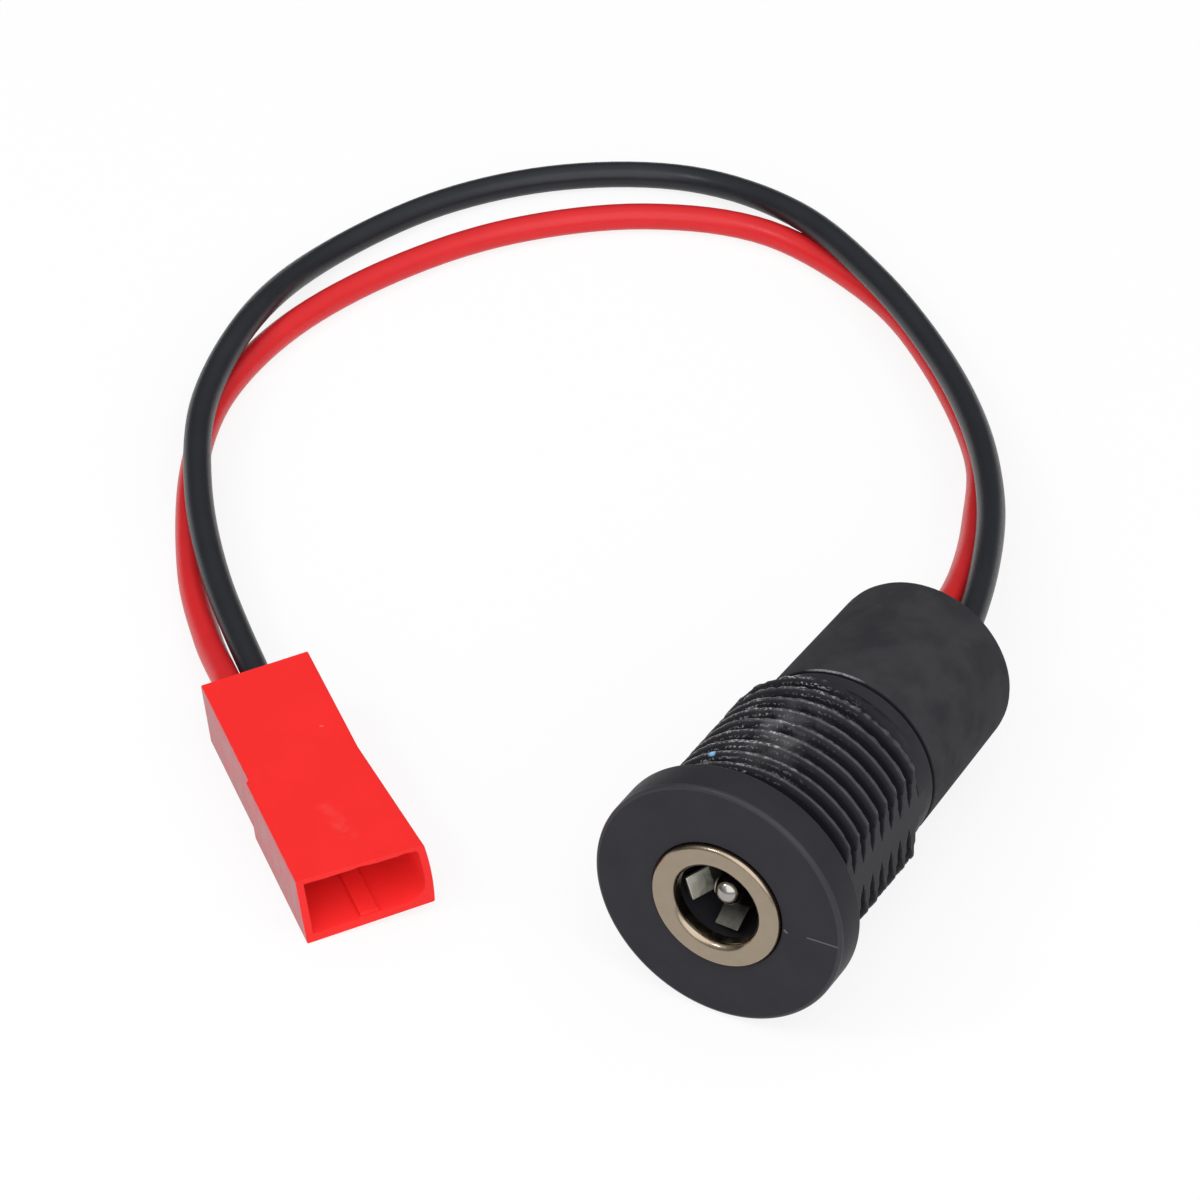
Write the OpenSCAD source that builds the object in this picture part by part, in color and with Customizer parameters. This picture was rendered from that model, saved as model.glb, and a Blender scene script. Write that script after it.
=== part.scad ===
// Panel charging port for a coaxial power plug, with a short two-wire lead and a two-way connector.
// The port lies on a table as it comes to rest: on the flange's rim and on the cover's rear edge.
// Sizes are in millimetres, with +Z up and the socket facing -Y.

/* [Flange and barrel] */
// Diameter of the flange
flange_d = 17; // [16:0.5:20]
// Thickness of the flange
flange_t = 2.6; // [2:0.1:3.4]
// Diameter over the thread's crests
thread_d = 14.7; // [14.3:0.1:15]
// Pitch of the thread
thread_pitch = 1.27; // [1.1:0.01:1.5]
// Depth of the thread
thread_depth = 0.8; // [0.6:0.05:0.85]
// Length of the threaded barrel
barrel_l = 13; // [11:0.2:15]
// Share of a turn over which the thread runs out
thread_fade = 0.2; // [0.1:0.05:0.5]
// Width over the two flats on the barrel
flats_across = 13; // [13:0.1:13.6]
// Turn of the flats about the barrel's axis
flats_turn = -3.5; // [-30:0.5:30]
// Diameter of the smooth neck behind the thread
neck_d = 12.9; // [12.6:0.1:12.9]
// Length of the neck
neck_l = 1.25; // [1:0.05:3]

/* [Rear cover] */
// Length of the cover
cover_l = 12.45; // [12:0.05:15]
// Diameter of the cover at the seam
cover_front_d = 13; // [12.8:0.1:13.6]
// Diameter of the cover at its rear
cover_rear_d = 12.6; // [12.2:0.1:13]
// Rounding of the cover's rear edge
cover_round = 1.2; // [0.6:0.1:2]
// Thickness of the cover's rear wall
cover_wall = 1.4; // [1:0.1:2]
// Diameter of the spigot inside the cover
spigot_d = 11.2; // [10.6:0.1:11.4]

/* [Socket] */
// Diameter of the hole for the plug
socket_d = 5.7; // [5.6:0.05:5.9]
// Outer diameter of the front ring
ring_d = 8.8; // [8:0.1:10]
// Height of the front ring above the flange
ring_proud = 0.4; // [0.35:0.05:1]
// Diameter of the centre pin
pin_d = 2; // [1.9:0.05:2.5]
// Depth of the pin's tip behind the flange's face
pin_depth = 0.8; // [0.4:0.1:1.6]

/* [Wires] */
// Diameter of each insulated wire
wire_d = 1.95; // [1.7:0.05:1.95]
// Diameter of the bare strands
strand_d = 1; // [0.8:0.05:1.1]

/* [Connector] */
// Length of the housing
housing_l = 20.2; // [19:0.2:24]
// Width of the housing at the wires
housing_w = 7.4; // [7.2:0.1:7.8]
// Width of the housing at its mouth
mouth_w = 8.4; // [8.2:0.1:9]
// Height of the housing
housing_h = 5.1; // [4.6:0.1:6]
// Thickness of the mouth's side walls
mouth_wall = 0.5; // [0.4:0.05:0.7]
// Thickness of the mouth's roof
mouth_roof = 0.3; // [0.25:0.05:0.6]
// Thickness of the mouth's floor
mouth_floor = 0.6; // [0.4:0.05:0.8]
// Depth of the mouth
mouth_depth = 10.3; // [9:0.1:10.4]
// Distance between the two ways
way_pitch = 2.5; // [2.5:0.05:2.8]

/* [Hidden] */

$fn = 64;
overlap = 0.5;

// Depths are measured along the jack's axis, behind the flange's face
thread_end = flange_t + barrel_l;
seam = thread_end + neck_l;
jack_l = seam + cover_l;

// Edges of the moulding
flange_r = flange_d / 2;
front_edge = 0.3;
back_edge = 0.2;
seam_chamfer = 0.2;

// The jack lies nose up, on the flange's rear edge and on the cover's rounded rear edge
cover_rear_r = cover_rear_d / 2;
rise = (flange_r - back_edge) - (cover_rear_r - cover_round);
reach = (jack_l - cover_round) - (flange_t - back_edge);
tilt = acos((cover_round - back_edge) / norm([rise, reach])) - atan2(reach, rise);
axis_z = (flange_t - back_edge) * sin(tilt) + (flange_r - back_edge) * cos(tilt) + back_edge;

// The origin lies on the table under the middle of the jack
ring_r = ring_d / 2;
ring_round = 0.3;
front_reach = (ring_proud - ring_round) * cos(tilt) + (ring_r - ring_round) * sin(tilt) + ring_round;
rear_reach = (jack_l - cover_round) * cos(tilt) + (cover_rear_r - cover_round) * sin(tilt) + cover_round;
jack_y = (front_reach - rear_reach) / 2;

// Thread form, with the turns of the screw hidden in the flange and shares of the pitch
thread_steps = 32;
hidden_turns = 1.5;
land_l = 0.3;
land_step = 0.02;
crest_share = 0.13;
root_share = 0.16;

// Socket and the pieces in it
clearance = 0.05;
socket_r = socket_d / 2;
ring_seat = 0.4;
ring_shank_r = 3.65;
ring_shank_l = 0.3;
ring_lip = 0.5;
bore_r = ring_shank_r + clearance;
carrier_depth = 11;
carrier_t = 3.5;
carrier_r = 4.45;
carrier_rear = carrier_depth + carrier_t;
spigot_l = 3.15;
spigot_r = spigot_d / 2;

// Centre pin and its solder cup
pin_r = pin_d / 2;
pin_shank_step = 0.25;
pin_shank_r = pin_r + pin_shank_step;
pin_shank_lead = 0.4;
pin_shank_front = carrier_depth - pin_shank_lead;
pin_collar_step = 0.45;
pin_collar_r = pin_shank_r + pin_collar_step;
pin_collar_t = 0.6;
cup_r = 1.3;
cup_hole_r = 0.75;
cup_hole_l = 2.5;
tail_l = 4;
tail_end = carrier_rear + tail_l;
cup_floor = tail_end - cup_hole_l;

// Spring leaves: from the carrier along the wall, in to where the plug touches, out again at the tip
leaf_t = 0.3;
leaf_w = 1.6;
lug_w = 2.6;
lug_r = 3.2;
leaf_root = 6.5;
leaf_touch = 3;
leaf_touch_r = 2.15;
leaf_tip = 1.65;
leaf_tip_r = 3;
leaf_line = [[lug_r, carrier_rear], [lug_r, leaf_root], [leaf_touch_r, leaf_touch], [leaf_tip_r, leaf_tip]];
sleeve_turn = 90;
switch_turn = 158;

// Wires, solder and strands
wire_r = wire_d / 2;
strand_r = strand_d / 2;
strand_end = cup_floor + strand_r;
wire_sides = 8;
wire_hole_r = 1.3;
wire_gap = wire_r + clearance;
red_bare = 1.1;
red_start = tail_end + red_bare;
black_bare = 0.9;
black_start = tail_end + black_bare;
solder_film = 0.1;
black_lug_y = lug_r - leaf_t / 2 - solder_film - strand_r;
solder_r = 1.3;

// Connector, with its own +Z up, its mouth facing -Y and its rear face at y = 0
housing_rear = [-38, -6.3];
housing_turn = 50.5;
housing_roll = 5;
side_step = 0.2;
step_share = 0.48;
step_side = housing_w / 2 + side_step;
flare_side = mouth_w - step_side;
housing_lift = step_side * sin(housing_roll);
way_shift = -0.5;
red_way = way_shift - way_pitch / 2;
black_way = way_shift + way_pitch / 2;
way_z = housing_h / 2;
way_w = 2.2;
way_h = 2.6;
web_t = 1.5;
rail_x = 0.4;
rail_w = 1.25;
rail_h = 0.3;
rail_back = 0.15;
strip_l = 3;
barrel_start = 3.6;
crimp_rear = 0.8;
crimp_l = 1.8;
crimp_t = 0.1;
contact_box = 1.9;
contact_pin_r = 0.5;
contact_pin_l = 4.5;
mouth_back = housing_l - mouth_depth;
web_back = mouth_back - web_t;

// Wire routes: from the solder to each wire's side of the cover's hole, down to the table and round to
// the connector
red_free = [[-1.3, 18.4, 5.9], [-2.6, 25.3, 4.3], [-5.3, 33.2, 2.3], [-9, 41.1, 1.2], [-16.1, 48.9, 1],
    [-23.7, 54.4, 1], [-33.9, 57.3, 1], [-42.9, 54.7, 1], [-50.6, 48.3, 1], [-55.8, 40, 1],
    [-58.8, 30.6, 1], [-58.8, 21.3, 1], [-55.8, 12.8, 1], [-50.3, 4, 1], [-45, -2.1, 1.6]];
black_free = [[0.9, 18.3, 6.3], [-1.1, 25.6, 5.7], [-4.4, 33.4, 4.6], [-9.2, 40.9, 3.8], [-15.6, 47.8, 3.2],
    [-23.4, 53.7, 3.1], [-32.4, 58.6, 2.5], [-42.1, 60.4, 1.1], [-50.6, 56.1, 1], [-57, 48.8, 1],
    [-60.8, 38.9, 1.2], [-60.4, 28.2, 3], [-58.1, 18.2, 3.1], [-53.4, 9.9, 3.1], [-47.2, 2.4, 3]];
red_straight = 1.2;
red_aside = 8;
black_straight = 2.1;
black_aside = 11;
black_low = 0.3;
red_route = concat(
    [jack_point([0, 0, red_start]), jack_point([0, 0, red_start + red_straight]),
        jack_point([-wire_gap, 0, seam + red_aside])],
    red_free,
    housing_run(red_way));
black_route = concat(
    [jack_point([0, black_lug_y, black_start]), jack_point([0, black_lug_y, black_start + black_straight]),
        jack_point([wire_gap, black_low, seam + black_aside])],
    black_free,
    housing_run(black_way));

// Points of an arc about [x, y]
function arc(x, y, r, from, to, steps = 6) =
    [for (i = [0:steps]) let (a = from + (to - from) * i / steps) [x + r * cos(a), y + r * sin(a)]];

// A point of the jack's frame, [right, down, depth], on the table
function jack_point(p) = [
    p.x,
    jack_y + p.z * cos(tilt) - p.y * sin(tilt),
    axis_z - p.z * sin(tilt) - p.y * cos(tilt)];

// A point of the connector's frame, on the table
function housing_point(p) = let (
    across = p.x * cos(housing_roll) - p.z * sin(housing_roll),
    up = p.x * sin(housing_roll) + p.z * cos(housing_roll)) [
    housing_rear.x + across * cos(housing_turn) - p.y * sin(housing_turn),
    housing_rear.y + across * sin(housing_turn) + p.y * cos(housing_turn),
    housing_lift + up];

// Straight end of a wire, from behind the connector to its stripped end
function housing_run(x) = [for (y = [strip_l, 0, -strip_l]) housing_point([x, y, way_z])];

module in_jack() translate([0, jack_y, axis_z]) rotate([-90 - tilt, 0, 0]) children();

module in_housing()
    translate([housing_rear.x, housing_rear.y, housing_lift])
        rotate([0, -housing_roll, housing_turn])
            children();

// Smooth line through route points, two steps from each point to the next
function route_point(route, i) = route[max(0, min(len(route) - 1, i))];

function halfway(route, i) =
    (9 * (route_point(route, i) + route_point(route, i + 1))
        - route_point(route, i - 1) - route_point(route, i + 2)) / 16;

function smooth(route) = concat(
    [for (i = [0:len(route) - 2]) each [route[i], halfway(route, i)]],
    [route[len(route) - 1]]);

function direction(line, i) =
    let (step = line[min(i + 1, len(line) - 1)] - line[max(i - 1, 0)]) step / norm(step);

// Direction of a wire at each point of its smooth line: its ends follow the route's own ends
function wire_directions(route, line) = concat(
    [direction(route, 0)],
    [for (i = [1:len(line) - 2]) direction(line, i)],
    [direction(route, len(route) - 1)]);

function ring_points(centre, along) =
    let (level = cross(along, [0, 0, 1]), side = level / norm(level), up = cross(side, along))
    [for (k = [0:wire_sides - 1]) let (a = 360 * k / wire_sides)
        centre + wire_r * (cos(a) * side + sin(a) * up)];

module wire(route) {
    line = smooth(route);
    last = len(line) - 1;
    n = wire_sides;
    along = wire_directions(route, line);
    points = [for (i = [0:last]) each ring_points(line[i], along[i])];
    sides = [for (i = [0:last - 1], k = [0:n - 1]) let (next = (k + 1) % n)
        each [[i * n + k, (i + 1) * n + k, i * n + next],
            [i * n + next, (i + 1) * n + k, (i + 1) * n + next]]];
    start_cap = [[for (k = [0:n - 1]) k]];
    end_cap = [[for (k = [n - 1:-1:0]) last * n + k]];
    polyhedron(points, concat(sides, start_cap, end_cap));
}

// Right-hand screw, longer than the barrel at both ends; its ridge fades out before the barrel's end
module screw() {
    flank = (1 - crest_share - root_share) / 2;
    shares = [0, flank, flank + crest_share, flank * 2 + crest_share];
    root = thread_d / 2 - thread_depth;
    heights = [0, thread_depth, thread_depth, 0];
    turns = ceil(barrel_l / thread_pitch + hidden_turns) + 1;
    n = thread_steps;
    last = turns * n;
    start = flange_t - hidden_turns * thread_pitch;
    ridge_end = n * ((thread_end - start) / thread_pitch - 1 + root_share);
    points = [for (i = [0:last], j = [0:3]) let (
        a = 360 * i / n,
        fade = max(0, min(1, (ridge_end - i) / (n * thread_fade))),
        r = root + heights[j] * fade)
        [r * cos(a), r * sin(a), start + thread_pitch * (i / n + shares[j])]];
    low = len(points);
    high = low + 1;
    flanks = [for (i = [0:last - 1], j = [0:2]) let (p = i * 4 + j)
        each [[p, p + 1, p + 4], [p + 1, p + 5, p + 4]]];
    roots = [for (i = [0:last - n - 1]) let (p = i * 4 + 3, q = (i + n) * 4)
        each [[p, q, p + 4], [q, q + 4, p + 4]]];
    low_rim = [for (i = [0:n - 1]) [low, i * 4, i * 4 + 4]];
    low_step = concat([for (j = [0:2]) [low, j + 1, j]], [[low, n * 4, 3]]);
    high_rim = [for (i = [last - n:last - 1]) [high, i * 4 + 7, i * 4 + 3]];
    high_step = concat(
        [for (j = [0:2]) [high, last * 4 + j, last * 4 + j + 1]],
        [[high, (last - n) * 4 + 3, last * 4]]);
    ends = [[0, 0, start], [0, 0, start + thread_pitch * (turns + 1)]];
    polyhedron(concat(points, ends), concat(flanks, roots, low_rim, low_step, high_rim, high_step));
}

module flange()
    rotate_extrude()
        polygon(concat(
            [[0, 0]],
            arc(flange_r - front_edge, front_edge, front_edge, -90, 0, 4),
            arc(flange_r - back_edge, flange_t - back_edge, back_edge, 0, 90, 3),
            [[0, flange_t]]));

// Thread and the plain land at the flange, between the two flats
module barrel()
    intersection() {
        union() {
            screw();
            cylinder(d = thread_d + 2 * land_step, h = flange_t + land_l);
        }
        rotate(flats_turn)
            translate([-flats_across / 2, -thread_d, flange_t - overlap])
                cube([flats_across, thread_d * 2, barrel_l + overlap]);
    }

module jack_body()
    color("dimgray")
        in_jack()
            difference() {
                union() {
                    flange();
                    barrel();
                    translate([0, 0, thread_end - overlap])
                        cylinder(d = neck_d, h = neck_l + overlap);
                    translate([0, 0, seam - overlap])
                        cylinder(r = spigot_r, h = spigot_l + overlap);
                }
                translate([0, 0, -overlap])
                    cylinder(r = ring_r + clearance, h = ring_seat + overlap);
                cylinder(r = bore_r, h = jack_l);
                translate([0, 0, carrier_depth])
                    cylinder(r = carrier_r + clearance, h = jack_l);
            }

module front_ring()
    color("wheat")
        in_jack()
            rotate_extrude()
                polygon(concat(
                    [[socket_r, ring_seat + ring_shank_l], [ring_shank_r, ring_seat + ring_shank_l],
                        [ring_shank_r, ring_seat], [ring_r, ring_seat]],
                    arc(ring_r - ring_round, ring_round - ring_proud, ring_round, 0, -90, 4),
                    arc(socket_r + ring_lip, ring_lip - ring_proud, ring_lip, -90, -180, 5)));

// Cuts through the carrier for one leaf
module leaf_slot(turn)
    rotate(turn)
        translate([lug_r - leaf_t / 2 - clearance, -leaf_w / 2 - clearance, 0])
            cube([leaf_t + 2 * clearance, leaf_w + 2 * clearance, jack_l]);

module contact_carrier()
    color("ivory")
        in_jack()
            difference() {
                translate([0, 0, carrier_depth])
                    cylinder(r = carrier_r, h = carrier_t);
                cylinder(r = pin_shank_r + clearance, h = jack_l);
                leaf_slot(sleeve_turn);
                leaf_slot(switch_turn);
            }

module centre_pin()
    color("silver")
        in_jack()
            difference() {
                rotate_extrude()
                    polygon(concat(
                        arc(0, pin_depth + pin_r, pin_r, -90, 0, 6),
                        [[pin_r, pin_shank_front], [pin_shank_r, pin_shank_front],
                            [pin_shank_r, carrier_rear], [pin_collar_r, carrier_rear],
                            [pin_collar_r, carrier_rear + pin_collar_t],
                            [cup_r, carrier_rear + pin_collar_t],
                            [cup_r, tail_end], [0, tail_end]]));
                translate([0, 0, cup_floor])
                    cylinder(r = cup_hole_r, h = cup_hole_l + overlap);
            }

// Outline of a strip of even thickness along a line of points
function strip_outline(line) =
    let (last = len(line) - 1, half = leaf_t / 2)
    let (normals = [for (i = [0:last]) let (d = direction(line, i)) [-d.y, d.x]])
    concat(
        [for (i = [0:last]) line[i] + half * normals[i]],
        [for (i = [last:-1:0]) line[i] - half * normals[i]]);

// Spring leaf with a wider solder lug behind the carrier
module leaf(turn)
    rotate(turn) {
        rotate([90, 0, 0])
            linear_extrude(leaf_w, center = true)
                polygon(strip_outline(leaf_line));
        translate([lug_r - leaf_t / 2, -lug_w / 2, carrier_rear])
            cube([leaf_t, lug_w, tail_end - carrier_rear]);
    }

module sleeve_contact() color("lightgray") in_jack() leaf(sleeve_turn);

module switch_contact() color("lightgray") in_jack() leaf(switch_turn);

module rear_cover()
    color("dimgray")
        in_jack()
            difference() {
                rotate_extrude()
                    polygon(concat(
                        [[spigot_r + clearance, seam], [cover_front_d / 2 - seam_chamfer, seam],
                            [cover_front_d / 2, seam + seam_chamfer]],
                        arc(cover_rear_r - cover_round, jack_l - cover_round, cover_round, 0, 90),
                        [[0, jack_l], [0, jack_l - cover_wall],
                            [spigot_r + clearance, jack_l - cover_wall]]));
                for (x = [-wire_gap, wire_gap])
                    translate([x, 0, seam])
                        cylinder(r = wire_hole_r, h = cover_l + overlap);
                translate([-wire_gap, -wire_hole_r, seam])
                    cube([2 * wire_gap, 2 * wire_hole_r, cover_l + overlap]);
            }

// Solder filling the pin's cup round the strands, with a small cone outside
module pin_solder()
    color("gainsboro")
        in_jack()
            rotate_extrude()
                polygon([[0, cup_floor], [cup_hole_r, cup_floor], [cup_hole_r, tail_end], [cup_r, tail_end],
                    [strand_r, tail_end + strand_r], [strand_r, strand_end], [0, strand_end]]);

// Drop of solder on the sleeve contact's lug
module sleeve_solder()
    color("gainsboro")
        in_jack()
            difference() {
                translate([0, lug_r - leaf_t / 2, tail_end - solder_r])
                    sphere(solder_r);
                translate([-lug_w, lug_r - leaf_t / 2, carrier_rear])
                    cube([2 * lug_w, 2 * solder_r, tail_end]);
                black_jack_strands();
            }

module black_jack_strands()
    translate([0, black_lug_y, tail_end - 2 * solder_r])
        cylinder(r = strand_r, h = black_start - tail_end + 2 * solder_r);

// Bare end of one wire, inside the crimp
module crimped_strands(x)
    translate([x, -strip_l, way_z])
        rotate([90, 0, 0])
            cylinder(r = strand_r, h = web_back - strip_l - contact_box);

module red_strands()
    color("peru") {
        in_jack()
            translate([0, 0, strand_end])
                cylinder(r = strand_r, h = red_start - strand_end);
        in_housing() crimped_strands(red_way);
    }

module black_strands()
    color("peru") {
        in_jack() black_jack_strands();
        in_housing() crimped_strands(black_way);
    }

module red_wire() color("red") wire(red_route);

module black_wire() color("black") wire(black_route);

// The housing's outline seen from above: stepped on one side and flared on the other
module housing_outline()
    polygon([[-housing_w / 2, 0], [housing_w / 2, 0], [housing_w / 2, -housing_l * step_share],
        [flare_side, -housing_l], [-step_side, -housing_l], [-step_side, -housing_l * step_share - side_step],
        [-housing_w / 2, -housing_l * step_share]]);

module mouth()
    translate([0, 0, mouth_floor])
        linear_extrude(housing_h - mouth_floor - mouth_roof)
            polygon([[-step_side + mouth_wall, -mouth_back], [housing_w / 2 - mouth_wall, -mouth_back],
                [flare_side - mouth_wall, -housing_l - overlap],
                [-step_side + mouth_wall, -housing_l - overlap]]);

module connector_housing()
    color("crimson")
        in_housing() {
            difference() {
                linear_extrude(housing_h) housing_outline();
                mouth();
                for (x = [red_way, black_way])
                    translate([x, 0, way_z]) {
                        translate([-way_w / 2, -web_back, -way_h / 2])
                            cube([way_w, web_back + overlap, way_h]);
                        rotate([90, 0, 0])
                            cylinder(r = contact_pin_r + clearance, h = mouth_back + overlap);
                    }
            }
            translate([rail_x - rail_w / 2, -housing_l + rail_back, mouth_floor - overlap / 2])
                cube([rail_w, mouth_depth - rail_back + overlap, rail_h + overlap / 2]);
        }

// Crimped contact: insulation grip, strand grip, shouldered box and pin
module crimp_contact(x)
    in_housing()
        translate([x, 0, way_z])
            rotate([90, 0, 0])
                difference() {
                    union() {
                        translate([0, 0, crimp_rear])
                            cylinder(r = wire_r + crimp_t, h = crimp_l);
                        translate([-strand_r, -wire_r - crimp_t, crimp_rear])
                            cube([2 * strand_r, wire_r - strand_r / 2, web_back - contact_box - crimp_rear]);
                        translate([0, 0, barrel_start])
                            cylinder(r = strand_r + crimp_t, h = web_back - contact_box - barrel_start);
                        translate([-contact_box / 2, -contact_box / 2, web_back - contact_box])
                            cube(contact_box);
                        translate([0, 0, web_back - overlap])
                            cylinder(r = contact_pin_r, h = web_t + contact_pin_l + overlap);
                        translate([0, 0, mouth_back + contact_pin_l])
                            cylinder(r1 = contact_pin_r, r2 = contact_pin_r / 2, h = contact_pin_r);
                    }
                    cylinder(r = strand_r, h = web_back - contact_box);
                    translate([0, 0, crimp_rear - overlap])
                        cylinder(r = wire_r, h = strip_l - crimp_rear + overlap);
                }

module red_crimp_contact() color("silver") crimp_contact(red_way);

module black_crimp_contact() color("silver") crimp_contact(black_way);

jack_body();
front_ring();
contact_carrier();
centre_pin();
sleeve_contact();
switch_contact();
rear_cover();
pin_solder();
sleeve_solder();
red_wire();
black_wire();
red_strands();
black_strands();
connector_housing();
red_crimp_contact();
black_crimp_contact();
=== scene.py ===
"""Looks of a panel charging port with a red and black lead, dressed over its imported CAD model."""

import math

import bmesh
import bpy
from mathutils import Matrix, Vector, noise


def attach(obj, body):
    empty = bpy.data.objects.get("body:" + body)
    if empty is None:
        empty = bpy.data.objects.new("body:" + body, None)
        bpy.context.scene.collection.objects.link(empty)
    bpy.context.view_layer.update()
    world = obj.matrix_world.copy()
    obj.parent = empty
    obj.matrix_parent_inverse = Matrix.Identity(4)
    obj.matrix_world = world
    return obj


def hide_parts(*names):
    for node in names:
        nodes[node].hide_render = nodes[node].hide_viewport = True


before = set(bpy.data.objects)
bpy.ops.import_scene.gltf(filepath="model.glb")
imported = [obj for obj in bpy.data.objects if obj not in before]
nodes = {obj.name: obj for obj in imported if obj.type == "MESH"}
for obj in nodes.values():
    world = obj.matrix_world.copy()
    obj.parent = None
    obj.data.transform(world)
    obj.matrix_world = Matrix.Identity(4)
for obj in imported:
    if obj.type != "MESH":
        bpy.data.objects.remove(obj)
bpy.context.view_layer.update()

MM = 0.001
TURN = 2 * math.pi

# Body of the port, in millimetres, as in the part's source; depths run back from the flange's face
FLANGE_R = 8.5
FLANGE_T = 2.6
FRONT_EDGE = 0.3
BACK_EDGE = 0.2
THREAD_R = 7.35
THREAD_DEPTH = 0.8
THREAD_PITCH = 1.27
THREAD_START = FLANGE_T - 1.5 * THREAD_PITCH
THREAD_END = 15.6
THREAD_FADE = 0.2
CREST_SHARE = 0.13
ROOT_SHARE = 0.16
FLANK_SHARE = (1 - CREST_SHARE - ROOT_SHARE) / 2
RIDGE_END = (THREAD_END - THREAD_START) / THREAD_PITCH - 1 + ROOT_SHARE
LAND_R = 7.37
LAND_END = 2.9
FLAT_REACH = 6.5
FLAT_TURN = math.radians(-3.5)
NECK_R = 6.45
SEAM = 16.85
SEAM_EDGE = 0.15
SPIGOT_R = 5.6
SPIGOT_END = 20
BORE_R = 3.7
REAR_BORE_R = 4.5
CARRIER_DEPTH = 11
JACK_L = 29.3
COVER_REAR_R = 6.3
COVER_ROUND = 1.2

# Rounding of the thread's corners, as a share of the pitch, and how uneven its crests are
THREAD_ROUNDING = 0.035
FRAY_LEAST = 0.05
FRAY_MORE = 0.22
FRAY_START = 11.5
FRAY_RUN = 2.5

# Wear and painted light on the body: angles about the axis and depths in millimetres of the scuffs with
# painted glints and of the painted sheen band, and the polish and painted highlight of the flange's edge
SCUFF_GLINT_ANGLE = math.radians(-112)
SCUFF_GLINT_REACH = 0.95
SHEEN_ANGLE = math.radians(-98)
SHEEN_REACH = 0.45
SHEEN_DEPTH = 9
SHEEN_LENGTH = 5
EDGE_POLISH_AND_HIGHLIGHT = 0.4
SPECK_STRETCH = 0.6

# Front ring and centre pin
SOCKET_R = 2.85
RING_R = 4.4
RING_PROUD = 0.4
RING_ROUND = 0.3
RING_LIP = 0.5
RING_SEAT = 0.4
RING_SEAT_R = 4.45
RING_SHANK_R = 3.65
RING_REAR = 0.7
PIN_R = 1
PIN_DEPTH = 0.8
PIN_SHANK_R = 1.25
PIN_SHANK_FRONT = 10.6
PIN_COLLAR_R = 1.7
PIN_COLLAR_FRONT = 14.5
PIN_COLLAR_REAR = 15.1
CUP_R = 1.3
CUP_HOLE_R = 0.75
CUP_FLOOR = 16
CUP_END = 18.5

# Where the port rests: nose up, on the flange's rear edge and the cover's rear edge
rise = (FLANGE_R - BACK_EDGE) - (COVER_REAR_R - COVER_ROUND)
reach = (JACK_L - COVER_ROUND) - (FLANGE_T - BACK_EDGE)
TILT = math.acos((COVER_ROUND - BACK_EDGE) / math.hypot(rise, reach)) - math.atan2(reach, rise)
SIN_TILT = math.sin(TILT)
COS_TILT = math.cos(TILT)
AXIS_Z = (FLANGE_T - BACK_EDGE) * SIN_TILT + (FLANGE_R - BACK_EDGE) * COS_TILT + BACK_EDGE
front_reach = (RING_PROUD - RING_ROUND) * COS_TILT + (RING_R - RING_ROUND) * SIN_TILT + RING_ROUND
rear_reach = (JACK_L - COVER_ROUND) * COS_TILT + (COVER_REAR_R - COVER_ROUND) * SIN_TILT + COVER_ROUND
JACK_Y = (front_reach - rear_reach) / 2
JACK_FRAME = (
    Matrix.Translation((0, JACK_Y * MM, AXIS_Z * MM))
    @ Matrix.Rotation(-math.pi / 2 - TILT, 4, "X")
)

# Wires, in millimetres, as in the part's source
WIRE_R = 0.975
WIRE_GAP = WIRE_R + 0.05
RED_START = 19.6
RED_STRAIGHT = 1.2
RED_ASIDE = SEAM + 8
BLACK_START = 19.4
BLACK_STRAIGHT = 2.1
BLACK_ASIDE = SEAM + 11
BLACK_LUG_Y = 2.45
BLACK_LOW = 0.3
RED_FREE = [
    (-1.3, 18.4, 5.9), (-2.6, 25.3, 4.3), (-5.3, 33.2, 2.3), (-9, 41.1, 1.2), (-16.1, 48.9, 1),
    (-23.7, 54.4, 1), (-33.9, 57.3, 1), (-42.9, 54.7, 1), (-50.6, 48.3, 1), (-55.8, 40, 1),
    (-58.8, 30.6, 1), (-58.8, 21.3, 1), (-55.8, 12.8, 1), (-50.3, 4, 1), (-45, -2.1, 1.6),
]
BLACK_FREE = [
    (0.9, 18.3, 6.3), (-1.1, 25.6, 5.7), (-4.4, 33.4, 4.6), (-9.2, 40.9, 3.8), (-15.6, 47.8, 3.2),
    (-23.4, 53.7, 3.1), (-32.4, 58.6, 2.5), (-42.1, 60.4, 1.1), (-50.6, 56.1, 1), (-57, 48.8, 1),
    (-60.8, 38.9, 1.2), (-60.4, 28.2, 3), (-58.1, 18.2, 3.1), (-53.4, 9.9, 3.1), (-47.2, 2.4, 3),
]
STEPS_PER_POINT = 8

# Connector, in millimetres, as in the part's source: its mouth faces -Y and its rear face is at y = 0
HOUSING_REAR = (-38, -6.3)
HOUSING_TURN = math.radians(50.5)
HOUSING_ROLL = math.radians(5)
HOUSING_L = 20.2
HOUSING_H = 5.1
REAR_SIDE = 3.7
STEP_SIDE = 3.9
FLARE_SIDE = 4.5
STEP_FRONT = 9.696
STEP_BACK = 9.896
MOUTH_WALL = 0.5
MOUTH_ROOF = 0.3
MOUTH_FLOOR = 0.6
MOUTH_BACK = 9.9
RED_WAY = -1.75
BLACK_WAY = 0.75
WAY_W = 2.2
WAY_H = 2.6
WAY_END = 8.4
PIN_HOLE_R = 0.55
RAIL_X = 0.4
RAIL_W = 1.25
RAIL_H = 0.3
RAIL_BACK = 0.15
SWELL_OUT = 0.74
SWELL_IN = 0.56
ROOF_WAVES = 0.2
ROOF_DRAWN_BACK = 0.45
STRIP_L = 3
PINCH_SHARE = 0.2
PINCH_BACK = 2
HOUSING_LIFT = STEP_SIDE * math.sin(HOUSING_ROLL)
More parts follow.
